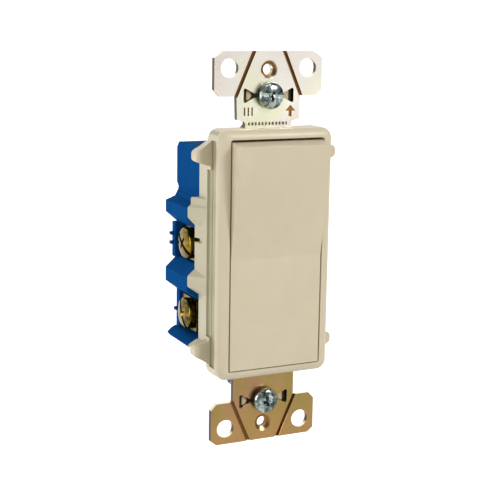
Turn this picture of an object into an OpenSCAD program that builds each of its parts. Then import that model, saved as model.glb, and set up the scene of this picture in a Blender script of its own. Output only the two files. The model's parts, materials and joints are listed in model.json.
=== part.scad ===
// Decorator rocker wall switch, single pole, side and back wired.
// Origin: middle of the two wall plate screw holes, on the front face of the strap's ends.
// +X right, +Z up, +Y back into the wall box. The rocker is drawn in its off position.

/* [Mounting strap] */
// Length of the strap, top to bottom
strap_l = 106.4; // [104:0.2:110]
// Width across the ears
ear_w = 31.4; // [31:0.1:34]
// Thickness of the sheet
strap_t = 1.5; // [1.2:0.1:1.8]
// How far the strap is set back inside the housing
joggle = 1.6; // [1.2:0.1:2]
// Distance between the wall plate screw holes
plate_pitch = 96.82; // [96:0.01:98]
// Distance between the wall box screws
box_pitch = 83.34; // [83:0.01:84]
// Radius of the round holes in the ears
ear_hole_r = 2.5; // [2:0.1:2.8]
// Tapping radius of the wall plate screw holes
plate_hole_r = 1.45; // [1.3:0.05:1.6]

/* [Front cover] */
// Width of the cover's face
face_w = 32.9; // [32:0.1:33.4]
// Height of the cover's face
face_h = 66.7; // [66:0.1:67]
// How far the face stands in front of the strap
face_y = 6.4; // [6:0.1:7]
// Width of the rocker opening
opening_w = 27.3; // [27:0.1:27.6]
// Height of the rocker opening
opening_h = 61.8; // [61:0.1:62]

/* [Rocker] */
// Angle the rocker turns through between off and on
rocker_travel = 8.8; // [7:0.1:10]
// Gap between the rocker and each side of its opening
rocker_gap = 0.55; // [0.4:0.05:0.7]
// Thickness of the rocker's shell
rocker_wall = 1.5; // [1.2:0.1:1.8]

/* [Back body] */
// Depth at which the cover and the back body meet
part_y = 7.4; // [7:0.1:8]
// Depth of the back face
back_y = 23.2; // [22.6:0.1:24]
// Top edge of the back body
body_top = 27.8; // [27.4:0.1:28.4]
// Bottom edge of the back body
body_bottom = -26.8; // [-27.2:0.1:-26.6]

/* [Terminals] */
// Height of the upper terminal
line_z = 0.6; // [0.4:0.1:0.8]
// Height of the lower terminal
load_z = -19.2; // [-19.4:0.1:-19]
// Depth of the terminal screws
terminal_y = 15; // [14.6:0.1:15.2]
// Radius of a terminal screw's head
terminal_head_r = 4.4; // [4:0.1:4.5]
// Outer radius of the 6-32 thread used by every large screw
thread_r = 1.75; // [1.7:0.05:1.8]
// Radius of a mounting screw's neck, which turns in its retainer
neck_r = 1.45; // [1.3:0.05:1.5]

/* [Hidden] */
$fn = 48;

eps = 0.01;
run = 0.05;                         // radial clearance of every turning fit

// Strap
half_l = strap_l / 2;
ear_z = 41.5;                       // inner edge of the ears
tongue_w = 18.8;                    // width of the strap between ears and cover
tongue_low = 18.4;                  // the same at the bottom
neck_w = 13.6;                      // width of the top neck
inner_w = 24.4;                     // width inside the housing
window_w = 19.2;
window_h = 44;
joggle_z = 32.35;                   // inner end of the joggle
ear_hole_x = 11.4;
ear_hole_z = 48.8;

// Cover
cover_r = 2.8;                      // corner radius of the face
face_edge = 2.2;                    // size of the rounded front edge
relief = 0.5;                       // depth of the recessed panel on each side
relief_y = [-2.6, 2.6];
relief_h = 60.8;
lug_y = [0.2, 3.2];
lug_z = 22.6;                       // inner edge of the lugs
slot_gap = 0.25;                    // clearance of the strap in its slots in the cover
end_y = 2.4;                        // back of the cover's top and bottom walls
skirt_in = 12.4;                    // inner face of the side skirts
skirt_out = 16.45;                  // outer face of the side skirts at the parting plane
skirt_flare = 17.7;                 // the same beside the upper terminal
flare_z = [-9, 14.6];

// Rocker
pivot_y = -1;
rocker_hw = opening_w / 2 - rocker_gap;
rocker_hh = opening_h / 2 - 0.3;
skirt_back = -0.9;
trunnion_r = 1.5;
spring_seat = 3.2;                  // from the rocker's pivot to its spring seat
crease_z = (face_y + pivot_y) * tan(rocker_travel / 2);

// Cradle and contacts
cradle_y = 14.5;
cradle_swing = 22;
cradle_seat = 5.5;                  // from the cradle's pivot to its spring seat
wing_l = 9.16;
wing_r = 0.8;
hub_r = 2.6;
cradle_hw = 4.4;                    // half of the cradle's width
hinge_y = 16.9;
hinge_z = -6.25;
arm_open = 8.8;
arm_t = 0.4;
contact_z = -16;
contact_r = 1.6;
contact_h = 0.8;
fixed_y = 15.1;                     // front of the fixed contact button
peg_r = 1;

// Body
wall_back = 1.6;
recess_x = -11.6;                   // floor of the terminal recesses
recess_back = 21.1;
upper_recess = [-4.3, 5.5];
lower_recess = [-24.6, -13.8];
body_hw = 16.45;
barrier_x = 19.8;                   // how far the wire barriers stick out
cavity_l = -10.2;
cavity_r = 12.3;
cavity_top = 26;
cavity_bottom = -24.8;
lip_hw = 12;
cheek = [4.8, 6.4];
pocket_x = -7.4;
bumper_x = [2.6, 4.6];
bumper_y = 17.35;

// Terminals
plate_t = 1;
bracket_x = recess_x;               // inner face of a terminal bracket
wire_gap = 2.2;
clamp_x = bracket_x - plate_t - wire_gap;
head_x = clamp_x - plate_t;
head_t = 2.5;
head_rim = 1.6;                     // straight part of the head's height
wire_hole_r = 1.1;
wire_hole_dz = 3.1;

// Assembly screws
screw_x = 14;
screw_zs = [19, -9.05];
screw_r = 1.1;
screw_tip = 2.2;

// ---- building blocks -------------------------------------------------------------------

// Extrudes an X-Z outline from depth y0 to depth y1
module along_y(y0, y1) {
    translate([0, y1, 0]) rotate([90, 0, 0]) linear_extrude(y1 - y0) children();
}

// Extrudes a Y-Z outline from x0 to x1
module along_x(x0, x1) {
    translate([x0, 0, 0]) rotate([90, 0, 90]) linear_extrude(x1 - x0) children();
}

module box(x, y, z) {
    translate([x[0], y[0], z[0]]) cube([x[1] - x[0], y[1] - y[0], z[1] - z[0]]);
}

module rod_y(x, z, y0, y1, r) {
    translate([x, y0, z]) rotate([-90, 0, 0]) cylinder(r = r, h = y1 - y0);
}

module rod_x(y, z, x0, x1, r) {
    translate([x0, y, z]) rotate([0, 90, 0]) cylinder(r = r, h = x1 - x0);
}

module rounded(w, h, r) {
    hull() for (sx = [-1, 1], sz = [-1, 1])
        translate([sx * (w / 2 - r), sz * (h / 2 - r)]) circle(r = r, $fn = 32);
}

// Turns its children about an X axis through (y, z)
module turned(y, z, angle) {
    translate([0, y, z]) rotate([angle, 0, 0]) translate([0, -y, -z]) children();
}

module both_sides() {
    children();
    mirror([1, 0, 0]) children();
}

// ---- strap -----------------------------------------------------------------------------

// Pair of ears; corner is the width and height of the cuts at their outer corners
module ear_outline(corner) {
    hx = ear_w / 2;
    polygon([
        [-hx, ear_z + 1.7], [-hx + 1.6, ear_z], [hx - 1.6, ear_z], [hx, ear_z + 1.7],
        [hx, half_l - corner[1]], [hx - corner[0], half_l], [-hx + corner[0], half_l], [-hx, half_l - corner[1]]
    ]);
}

module screw_slot() {
    translate([0, box_pitch / 2]) {
        hull() for (sx = [-1, 1]) translate([sx * 1.45, 0]) circle(r = 1.95, $fn = 32);
        for (sx = [-1, 1]) scale([sx, 1])
            polygon([[3, -0.6], [4.3, -0.6], [6.9, -1.95], [7.3, -1.6],
                     [7.3, 1.6], [6.9, 1.95], [4.3, 0.6], [3, 0.6]]);
    }
}

module score_line() {
    polygon([[3.8, half_l + eps], [4.8, half_l + eps], [10, ear_z - eps], [9, ear_z - eps]]);
}

module strap_outline() {
    tongue = tongue_w / 2;
    ear_outline([2.7, 1.75]);
    mirror([0, 1]) ear_outline([1.6, 1.3]);
    // top: tongue, a step in, and the neck
    polygon([[-tongue, ear_z + 1], [-tongue + 0.25, 35.4], [-neck_w / 2 - 0.3, 34.9], [-neck_w / 2, 34.5],
             [-neck_w / 2, 31], [neck_w / 2, 31],
             [neck_w / 2, 34.5], [neck_w / 2 + 0.3, 34.9], [tongue - 0.25, 35.4], [tongue, ear_z + 1]]);
    // bottom: full width up to the cover
    translate([-tongue_low / 2, -ear_z - 1]) square([tongue_low, ear_z - 30]);
    difference() {
        square([inner_w, 2 * joggle_z - 0.1], center = true);
        square([window_w, window_h], center = true);
    }
}

module strap_profile() {
    z1 = joggle_z + 1;
    back_shift = 0.9;               // keeps the sheet's thickness in the bend
    polygon([
        [0, half_l], [0, z1], [joggle, joggle_z], [joggle, -joggle_z], [0, -z1], [0, -half_l],
        [strap_t, -half_l], [strap_t, -z1 - back_shift], [joggle + strap_t, -joggle_z - back_shift],
        [joggle + strap_t, joggle_z + back_shift], [strap_t, z1 + back_shift], [strap_t, half_l]
    ]);
}

module mounting_strap() {
    collar_r = 2.4;
    collar_back = strap_t + 0.9;
    color("darkkhaki") difference() {
        union() {
            intersection() {
                along_y(-1, joggle + strap_t + 1) strap_outline();
                along_x(-ear_w, ear_w) strap_profile();
            }
            for (s = [-1, 1]) rod_y(0, s * plate_pitch / 2, strap_t - eps, collar_back, collar_r);
        }
        for (s = [-1, 1]) {
            rod_y(0, s * plate_pitch / 2, -1, collar_back + 1, plate_hole_r);
            for (sx = [-1, 1]) {
                rod_y(sx * ear_hole_x, s * ear_hole_z, -1, strap_t + 1, ear_hole_r);
                scale([sx, 1, s]) along_y(-1, 0.5) score_line();
            }
            scale([1, 1, s]) along_y(-1, strap_t + 1) screw_slot();
        }
    }
}

// ---- mounting screws and their retainers -----------------------------------------------

module mounting_screw(s) {
    z = s * box_pitch / 2;
    under = -0.9;
    head_r = 3.5;
    neck_end = strap_t + 1;
    tip = 21.5;
    color("silver") difference() {
        union() {
            rod_y(0, z, under, neck_end + eps, neck_r);
            rod_y(0, z, neck_end, tip - 0.8, thread_r);
            translate([0, tip - 0.8, z]) rotate([-90, 0, 0])
                cylinder(r1 = thread_r, r2 = thread_r - 0.6, h = 0.8);
            rod_y(0, z, under - 0.9, under, head_r);
            translate([0, under - 0.9, z]) rotate([90, 0, 0])
                cylinder(r1 = head_r, r2 = head_r - 1.3, h = 1.1);
        }
        box([-3.6, 3.6], [-4, under - 0.9], [z - 0.45, z + 0.45]);
        box([-0.45, 0.45], [-4, under - 0.9], [z - 2, z + 2]);
    }
}

module screw_retainer(s) {
    z = s * box_pitch / 2;
    color("dimgray") difference() {
        along_y(strap_t, strap_t + 0.8) translate([0, z]) rounded(16.4, 7.6, 1);
        rod_y(0, z, 0, 4, neck_r + run);
    }
}

// ---- cover and rocker ------------------------------------------------------------------

module lug_outline() {
    polygon([[15.5, 22.8], [16.4, 22.8], [18.6, 24], [20.2, 24.7], [20.7, 25.3],
             [20.7, 27.2], [20.2, 27.8], [18.6, 28.5], [16.4, 30], [15.5, 30]]);
}

// Wire barrier on the terminal side; wide is its edge at the wall, tip its outer edge
module barrier_outline(wide, tip) {
    polygon([[-body_hw + 1, wide[0]], [-body_hw, wide[0]], [-barrier_x, tip[0]], [-barrier_x, tip[1]],
             [-body_hw, wide[1]], [-body_hw + 1, wide[1]]]);
}

module lowest_barrier() {
    polygon([[-15.5, -24.6], [-17, -24.6], [-19.6, -26.1], [-19.2, body_bottom], [-15.5, body_bottom]]);
}

module body_barriers() {
    barrier_outline([5.5, 12.9], [8.4, 11.6]);
    barrier_outline([-13.8, -4.3], [-11.2, -7.4]);
    lowest_barrier();
}

// The cover's half of the upper barrier has a shoulder above its tip
module cover_barriers() {
    shoulder_x = 18.9;
    polygon([[-body_hw + 1, flare_z[1]], [-shoulder_x, flare_z[1]], [-shoulder_x, 12.5], [-barrier_x, 12],
             [-barrier_x, 9.1], [-skirt_flare + 0.1, 6.8], [-body_hw + 1, 6.8]]);
    barrier_outline([-12.1, -4], [-9.8, -6.9]);
    lowest_barrier();
}

// Side wall behind the frame; out is its outer face at the parting plane
module skirt(z, out) {
    translate([0, 0, z[0]]) linear_extrude(z[1] - z[0])
        polygon([[skirt_in, 1.5], [15.8, 1.5], [16.3, 2.6], [out, part_y], [skirt_in, part_y]]);
}

module front_cover() {
    color("wheat") difference() {
        union() {
            hull() {
                along_y(-face_y, -face_y + eps) rounded(face_w - 2 * face_edge, face_h - 2 * face_edge, 1.6);
                along_y(-face_y + 0.7, -face_y + 0.7 + eps) rounded(face_w - 1.2, face_h - 1.2, cover_r);
                along_y(-face_y + face_edge, end_y) rounded(face_w, face_h, cover_r);
            }
            both_sides() along_y(lug_y[0], lug_y[1]) {
                lug_outline();
                mirror([0, 1]) lug_outline();
            }
            both_sides() skirt([body_bottom, body_top], skirt_out);
            both_sides() skirt(flare_z, skirt_flare);
            intersection() {
                along_y(1.5, part_y) cover_barriers();
                translate([0, 0, -half_l]) linear_extrude(strap_l)
                    polygon([[-14, 1.5], [-16, 1.5], [-barrier_x, 6.6], [-barrier_x, part_y], [-14, part_y]]);
            }
        }
        along_y(-face_y - 1, joggle) rounded(opening_w, opening_h, 0.5);
        box([-skirt_in, skirt_in], [joggle, part_y + 1], [-half_l, half_l]);
        // slots that the strap passes through
        box([-neck_w / 2 - slot_gap, neck_w / 2 + slot_gap], [-eps, part_y], [30, half_l]);
        box([-tongue_low / 2 - slot_gap, tongue_low / 2 + slot_gap], [-eps, part_y], [-half_l, -30]);
        // recessed panel on each side
        both_sides() box([face_w / 2 - relief, face_w], [relief_y[0], lug_y[0]], [-relief_h / 2, relief_h / 2]);
        both_sides() box([face_w / 2 - relief, face_w], relief_y, [-lug_z, lug_z]);
        // trunnion bores, assembly screw holes and the notch beside the upper terminal
        both_sides() rod_x(pivot_y, 0, opening_w / 2 - 1, 15.2, trunnion_r + run);
        both_sides() for (z = screw_zs) rod_y(screw_x, z, screw_tip - 0.3, part_y + 1, screw_r);
        box([-18, -16.2], [4.4, part_y + 1], [0.9, 2.3]);
    }
    // ledges that the strap bears on
    color("wheat") both_sides() for (s = [-1, 1])
        box([10.6, opening_w / 2 + 0.4], [0.2, joggle], [s * 25 - 1.5, s * 25 + 1.5]);
}

// A Y-Z point of the lower half, mirrored and swung out to its place on the upper half
function swung(p) = let(y = p[0] - pivot_y, z = -p[1])
    [pivot_y + y * cos(rocker_travel) - z * sin(rocker_travel), y * sin(rocker_travel) + z * cos(rocker_travel)];

// Closed Y-Z outline of the whole rocker from the points of its lower half, front first
module rocker_outline(front, back) {
    polygon(concat([front, [front[0], -crease_z], swung(front)], [swung(back), [back[0], 0], back]));
}

module rocker() {
    front = [-face_y, -rocker_hh];
    back = [skirt_back, -rocker_hh];
    inside = [-face_y + rocker_wall, -rocker_hh + rocker_wall];
    color("wheat") {
        difference() {
            along_x(-rocker_hw, rocker_hw) rocker_outline(front, back);
            along_x(-rocker_hw + rocker_wall, rocker_hw - rocker_wall)
                rocker_outline(inside, [skirt_back + 3, -rocker_hh + rocker_wall]);
        }
        turned(pivot_y, 0, rocker_travel / 2) {
            both_sides() rod_x(pivot_y, 0, rocker_hw - 1, 14.9, trunnion_r);
            both_sides() rod_x(pivot_y, 0, rocker_hw - rocker_wall - 0.4, rocker_hw - 0.2, 2.3);
            box([-2.4, 2.4], [-face_y + 0.8, pivot_y + spring_seat], [-2, 2]);
            box([-rocker_hw + 0.7, rocker_hw - 0.7], [-face_y + 1, pivot_y + 0.6], [-0.7, 0.7]);
            rod_y(0, 0, pivot_y + spring_seat - 0.5, pivot_y + spring_seat + 1, peg_r);
        }
    }
}

// ---- back body -------------------------------------------------------------------------

module body_outline() {
    difference() {
        translate([-body_hw, body_bottom]) square([2 * body_hw, body_top - body_bottom]);
        // notch above the upper barrier
        polygon([[-body_hw - 1, 16.6], [-body_hw, 16.6], [-15.95, 15.2], [-16.2, 14.1], [-body_hw - 1, 14.1]]);
    }
    body_barriers();
    // shoulder under the notch
    polygon([[-16, 12.2], [-16.95, 12.2], [-16.95, 12.9], [-16.2, 14.1], [-16, 14.1]]);
}

module rear_profile() {
    round_back = 1.5;
    polygon([[part_y, body_top], [back_y - round_back, body_top], [back_y, body_top - round_back],
             [back_y, body_bottom + round_back], [back_y - round_back, body_bottom], [part_y, body_bottom]]);
}

module terminal_recess(z) {
    box([-25, recess_x], [part_y - 1, recess_back], z);
}

// Boss that takes the end of a terminal screw
module tip_pocket(z) {
    rod_x(terminal_y, z, cavity_l - 0.5, pocket_x + 1, 2.9);
}

module back_body() {
    color("navy") {
        difference() {
            union() {
                difference() {
                    intersection() {
                        along_y(part_y, back_y) body_outline();
                        along_x(-25, 25) rear_profile();
                    }
                    terminal_recess(upper_recess);
                    terminal_recess(lower_recess);
                    box([cavity_l, cavity_r], [part_y - 1, back_y - wall_back], [cavity_bottom, cavity_top]);
                    box([-cavity_r, cavity_l + 1], [part_y - 1, back_y - wall_back], [13.6, cavity_top]);
                }
                tip_pocket(line_z);
                tip_pocket(load_z);
                // rear walls of the recesses, with their outer edges
                box([-17.8, recess_x], [recess_back, back_y], upper_recess);
                box([-18.7, -17.3], [recess_back + 0.5, back_y], [1.8, 2.6]);
                box([-18.7, -17.3], [recess_back + 0.5, back_y], [-0.8, 0]);
                box([-16.4, recess_x], [recess_back, back_y], lower_recess);
                box([-17.3, -16], [recess_back + 0.5, back_y], [-19.9, -19.1]);
                // bearings of the cradle
                both_sides() box(cheek, [12, back_y - 1], [-hub_r, hub_r]);
                // lips that clamp the strap
                box([-lip_hw, lip_hw], [joggle + strap_t, part_y + 1], [cavity_top, cavity_top + 1.4]);
                box([-lip_hw, lip_hw], [joggle + strap_t, part_y + 1], [cavity_bottom - 1.4, cavity_bottom]);
                // posts under the bumpers
                for (s = [-1, 1]) box(bumper_x, [bumper_y + 1.2, back_y - 1], [s * 9 - 1.2, s * 9 + 1.2]);
            }
            rod_x(terminal_y, line_z, recess_x - 1, pocket_x, 2.1);
            rod_x(terminal_y, load_z, recess_x - 1, pocket_x, 2.1);
            // slots for the bracket tails
            box([recess_x - 1, cavity_l + 1], [part_y - 1, 18.5], [-4, -3]);
            box([recess_x - 1, cavity_l + 1], [part_y - 1, 15.2], [-16.5, -14.5]);
            // open bearings
            rod_x(cradle_y, 0, -cheek[1] - 1, cheek[1] + 1, trunnion_r + run);
            box([-cheek[1] - 1, cheek[1] + 1], [11, cradle_y], [-1.35, 1.35]);
            for (z = [line_z, load_z], s = [-1, 1])
                rod_y(bracket_x - plate_t - wire_gap / 2, z + s * wire_hole_dz, recess_back - 1, back_y + 1,
                      wire_hole_r);
            both_sides() for (z = screw_zs) {
                rod_y(screw_x, z, part_y - 1, back_y + 1, screw_r);
                rod_y(screw_x, z, back_y - 1.4, back_y + 1, 2.1);
            }
        }
    }
}

// ---- terminals -------------------------------------------------------------------------

module terminal_plate(z, low, high) {
    difference() {
        box([bracket_x - plate_t, bracket_x], [9, 20.6], [low, high]);
        rod_x(terminal_y, z, bracket_x - 3, bracket_x + 1, thread_r + run);
    }
}

module upper_terminal_bracket() {
    color("goldenrod") {
        terminal_plate(line_z, -4, 5.2);
        box([bracket_x - eps, 2.2], [hinge_y - arm_t / 2, 18.4], [-3.9, -3.1]);
        box([-2.2, 2.2], [hinge_y - arm_t / 2, hinge_y + 0.6], [hinge_z + run, -3.5]);
    }
}

module lower_terminal_bracket() {
    color("goldenrod") {
        terminal_plate(load_z, -24, -14.6);
        box([bracket_x - eps, 0], [fixed_y - contact_h, fixed_y], [-16.2, -14.6]);
        box([-2.2, 2.2], [fixed_y - contact_h, fixed_y], [-17.8, -14.2]);
    }
}

module clamp_plate(z) {
    color("gold") difference() {
        box([clamp_x - plate_t, clamp_x], [10.3, 20.1], [z - 4.6, z + 4.6]);
        rod_x(terminal_y, z, clamp_x - 3, clamp_x + 1, thread_r + run);
    }
}

module terminal_screw(z) {
    color("gold") difference() {
        union() {
            rod_x(terminal_y, z, head_x, head_x + 6.4, thread_r);
            rod_x(terminal_y, z, head_x - head_rim, head_x, terminal_head_r);
            translate([head_x - head_rim, terminal_y, z]) rotate([0, -90, 0])
                cylinder(r1 = terminal_head_r, r2 = terminal_head_r - 1, h = head_t - head_rim);
        }
        box([head_x - 3, head_x - 1.2], [terminal_y - 5, terminal_y + 5], [z - 0.5, z + 0.5]);
        box([head_x - 3, head_x - 1.2], [terminal_y - 0.5, terminal_y + 0.5], [z - 2.2, z + 2.2]);
    }
}

// ---- contact mechanism -----------------------------------------------------------------

module contact_arm() {
    color("goldenrod") turned(hinge_y, hinge_z, arm_open)
        box([-2, 2], [hinge_y - arm_t / 2, hinge_y + arm_t / 2], [contact_z - 1.9, hinge_z]);
}

module moving_contact() {
    color("silver") turned(hinge_y, hinge_z, arm_open)
        rod_y(0, contact_z, fixed_y + contact_h - run + 0.02, hinge_y - arm_t / 2, contact_r);
}

module fixed_contact() {
    color("silver") rod_y(0, contact_z, fixed_y, fixed_y + contact_h - 2 * run, contact_r);
}

module cradle() {
    color("white") turned(cradle_y, 0, cradle_swing / 2) {
        along_x(-cradle_hw, cradle_hw) for (s = [-1, 1]) hull() {
            translate([cradle_y, 0]) circle(r = 1, $fn = 32);
            translate([cradle_y, s * wing_l]) circle(r = wing_r, $fn = 32);
        }
        rod_x(cradle_y, 0, -cradle_hw, cradle_hw, hub_r);
        rod_x(cradle_y, 0, -cheek[1] + 0.2, cheek[1] - 0.2, trunnion_r);
        box([-2.4, 2.4], [cradle_y - cradle_seat, cradle_y], [-2, 2]);
        rod_y(0, 0, cradle_y - cradle_seat - 1, cradle_y - cradle_seat + eps, peg_r);
    }
}

module cradle_bumpers() {
    color("black") for (s = [-1, 1])
        box(bumper_x, [bumper_y, bumper_y + 1.2], [s * 9 - 1.2, s * 9 + 1.2]);
}

// Spring seats on the rocker and on the cradle, as [y, z], with the direction each one faces
rock_a = rocker_travel / 2;
seat_a = [pivot_y + spring_seat * cos(rock_a), spring_seat * sin(rock_a)];
face_a = [cos(rock_a), sin(rock_a)];
crad_a = cradle_swing / 2;
seat_b = [cradle_y - cradle_seat * cos(crad_a), -cradle_seat * sin(crad_a)];
face_b = [cos(crad_a), sin(crad_a)];
wire_r = 0.22;
coil_r = 1.6;
coil_turns = 6.5;
coil_steps = 16;                    // rings per turn
coil_sides = 8;
end_gap = wire_r + 0.05;
bend = 2.4;                         // how far each end keeps its seat's direction

// Centre line of the bent spring: a cubic curve from seat to seat
function spline(t) = let(
        p0 = seat_a + end_gap * face_a,
        p3 = seat_b - end_gap * face_b,
        p1 = p0 + bend * face_a,
        p2 = p3 - bend * face_b)
    pow(1 - t, 3) * p0 + 3 * pow(1 - t, 2) * t * p1 + 3 * (1 - t) * t * t * p2 + pow(t, 3) * p3;
function heading(t) = let(d = spline(min(t + 0.01, 1)) - spline(max(t - 0.01, 0))) d / norm(d);
function coil_point(t) = let(c = spline(t), h = heading(t), a = 360 * coil_turns * t)
    [coil_r * cos(a), c[0] - coil_r * sin(a) * h[1], c[1] + coil_r * sin(a) * h[0]];
function unit(v) = v / norm(v);
function coil_ring(t) = let(
        c = coil_point(t),
        mid = [0, spline(t)[0], spline(t)[1]],
        out = unit(c - mid),
        ahead = unit(coil_point(min(t + 0.002, 1)) - coil_point(max(t - 0.002, 0))),
        side = unit(cross(ahead, out)))
    [for (k = [0:coil_sides - 1]) let(b = 360 * k / coil_sides) c + wire_r * (cos(b) * out + sin(b) * side)];

module rocker_spring() {
    rings = coil_turns * coil_steps;
    points = [for (i = [0:rings]) each coil_ring(i / rings)];
    sides = [for (i = [0:rings - 1], k = [0:coil_sides - 1]) let(n = (k + 1) % coil_sides)
        [i * coil_sides + k, (i + 1) * coil_sides + k, (i + 1) * coil_sides + n, i * coil_sides + n]];
    first = [for (k = [0:coil_sides - 1]) k];
    last = [for (k = [coil_sides - 1:-1:0]) rings * coil_sides + k];
    color("lightgray") polyhedron(points, concat(sides, [first, last]), convexity = 10);
}

// ---- ground terminal and assembly screws -----------------------------------------------

ground_y = 6.6;
ground_z = -35.5;
ground_x = 4.3;                     // inner face of the clip's leg

module ground_clip() {
    color("darkkhaki") difference() {
        union() {
            box([-5, ground_x + plate_t], [strap_t, strap_t + plate_t], [-37.5, -34.9]);
            along_x(ground_x, ground_x + plate_t)
                polygon([[strap_t, -37.5], [strap_t, -34.9], [4, -34.9], [4, -32], [10, -32], [10, -39], [4, -39],
                         [4, -37.5]]);
        }
        rod_x(ground_y, ground_z, 0, 10, thread_r + run);
    }
}

module ground_screw() {
    head = ground_x + plate_t;
    color("seagreen") difference() {
        union() {
            rod_x(ground_y, ground_z, -1.5, head, thread_r);
            translate([head, ground_y, ground_z]) rotate([0, 90, 0]) cylinder(r = 3.4, h = 1.6, $fn = 6);
        }
        box([head + 0.8, head + 3], [ground_y - 5, ground_y + 5], [ground_z - 0.5, ground_z + 0.5]);
    }
}

module assembly_screws() {
    color("silver") both_sides() for (z = screw_zs) difference() {
        union() {
            rod_y(screw_x, z, screw_tip, back_y - 1, screw_r);
            rod_y(screw_x, z, back_y - 1.4, back_y - 0.2, 2);
        }
        box([screw_x - 1.4, screw_x + 1.4], [back_y - 0.9, back_y + 1], [z - 0.25, z + 0.25]);
        box([screw_x - 0.25, screw_x + 0.25], [back_y - 0.9, back_y + 1], [z - 1.4, z + 1.4]);
    }
}

front_cover();
rocker();
mounting_strap();
back_body();
mounting_screw(1);  // upper_mounting_screw
mounting_screw(-1);  // lower_mounting_screw
screw_retainer(1);  // upper_screw_retainer
screw_retainer(-1);  // lower_screw_retainer
upper_terminal_bracket();
lower_terminal_bracket();
clamp_plate(line_z);  // upper_clamp_plate
clamp_plate(load_z);  // lower_clamp_plate
terminal_screw(line_z);  // upper_terminal_screw
terminal_screw(load_z);  // lower_terminal_screw
contact_arm();
moving_contact();
fixed_contact();
cradle();
rocker_spring();
cradle_bumpers();
ground_clip();
ground_screw();
assembly_screws();
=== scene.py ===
import json
import math

import bmesh
import bpy
from mathutils import Matrix, Vector


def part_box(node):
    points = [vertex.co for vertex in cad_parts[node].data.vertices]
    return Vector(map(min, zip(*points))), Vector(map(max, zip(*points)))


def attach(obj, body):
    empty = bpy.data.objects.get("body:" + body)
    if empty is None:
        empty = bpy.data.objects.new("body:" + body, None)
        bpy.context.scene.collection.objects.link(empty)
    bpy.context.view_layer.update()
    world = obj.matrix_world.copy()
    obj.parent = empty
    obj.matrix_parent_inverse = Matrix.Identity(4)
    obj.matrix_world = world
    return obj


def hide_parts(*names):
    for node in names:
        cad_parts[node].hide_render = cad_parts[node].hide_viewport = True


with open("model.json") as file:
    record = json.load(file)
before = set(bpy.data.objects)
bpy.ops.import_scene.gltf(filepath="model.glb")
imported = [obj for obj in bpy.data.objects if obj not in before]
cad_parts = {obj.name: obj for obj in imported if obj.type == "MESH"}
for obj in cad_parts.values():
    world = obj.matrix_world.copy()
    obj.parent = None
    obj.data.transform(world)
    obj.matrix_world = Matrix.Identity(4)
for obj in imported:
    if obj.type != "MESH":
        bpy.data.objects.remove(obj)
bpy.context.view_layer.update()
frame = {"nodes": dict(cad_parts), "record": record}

MM = 0.001

# ---- places taken from the frame, in millimetres -----------------------------------------


def span(node):
    """Lowest and highest corner of a CAD node, in millimetres."""
    low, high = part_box(node)
    return [v / MM for v in low], [v / MM for v in high]


COVER_LO, COVER_HI = span("front_cover")
STRAP_END = span("mounting_strap")[1][2]
BODY_LO, BODY_HI = span("back_body")
RETAINER_LO = span("upper_screw_retainer")[0]
BOSS_RISE = 0.7                     # height of the retainers' raised bosses
PLATE_SCREW_Z = frame["record"]["mounts"][0]["dims"]["spacing_y_mm"] / 2
FACE_Y = COVER_LO[1]                # front of the frame
PART_Y = COVER_HI[1]                # where the cover meets the body
FACE_HH = COVER_HI[2]               # half sizes of the face
FACE_HW = 16.45
OPENING_HW = 13.65                  # half sizes of the rocker's opening
OPENING_HH = 30.9
PANEL_Y = (-3.4, 2.6)               # front and back of the sunken panels on the cover's sides
PANEL_DEPTH = 0.45
SCREW_HEAD_R = 2.0                  # heads of the assembly screws
THREAD_R = 1.75                     # 6-32 thread
PITCH = 0.79375

# ---- mesh helpers -----------------------------------------------------------------------


def new_object(name, bm):
    """A mesh object from a bmesh that is in millimetres."""
    bmesh.ops.scale(bm, vec=(MM, MM, MM), verts=bm.verts)
    bmesh.ops.recalc_face_normals(bm, faces=bm.faces)
    mesh = bpy.data.meshes.new(name)
    bm.to_mesh(mesh)
    bm.free()
    obj = bpy.data.objects.new(name, mesh)
    bpy.context.scene.collection.objects.link(obj)
    return obj


# Where the two outline axes and the extrusion axis go, for each plane
PLANES = {"xz": (0, 2, 1), "yz": (1, 2, 0), "xy": (0, 1, 2)}


def placed(plane, a, b, depth):
    point = [0.0, 0.0, 0.0]
    for axis, value in zip(PLANES[plane], (a, b, depth)):
        point[axis] = value
    return point


def prism(name, plane, outline, low, high):
    bm = bmesh.new()
    rings = [[bm.verts.new(placed(plane, a, b, d)) for a, b in outline] for d in (low, high)]
    bm.faces.new(rings[0])
    bm.faces.new(reversed(rings[1]))
    for i in range(len(outline)):
        j = (i + 1) % len(outline)
        bm.faces.new((rings[0][i], rings[0][j], rings[1][j], rings[1][i]))
    return new_object(name, bm)


def box(name, x, y, z):
    return prism(name, "xz", [(x[0], z[0]), (x[1], z[0]), (x[1], z[1]), (x[0], z[1])], y[0], y[1])


def loft(name, rings):
    """A closed skin through rings of the same number of points, capped at both ends."""
    bm = bmesh.new()
    rows = [[bm.verts.new(p) for p in ring] for ring in rings]
    bm.faces.new(rows[0])
    bm.faces.new(reversed(rows[-1]))
    count = len(rows[0])
    for near, far in zip(rows, rows[1:]):
        for i in range(count):
            j = (i + 1) % count
            bm.faces.new((near[i], near[j], far[j], far[i]))
    return new_object(name, bm)


def lathe(name, profile, axis, centre, steps=64):
    """Turns (along, radius) pairs about an axis through centre."""
    a, b = [i for i in range(3) if i != axis]
    rings = []
    for along, radius in profile:
        ring = []
        for k in range(steps):
            angle = 2 * math.pi * k / steps
            point = list(centre)
            point[axis] += along
            point[a] += radius * math.cos(angle)
            point[b] += radius * math.sin(angle)
            ring.append(point)
        rings.append(ring)
    return loft(name, rings)


def arc(cx, cy, r, start, end, steps):
    """Points of an arc, angles in degrees."""
    angles = [math.radians(start + (end - start) * k / steps) for k in range(steps + 1)]
    return [(cx + r * math.cos(a), cy + r * math.sin(a)) for a in angles]


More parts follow.
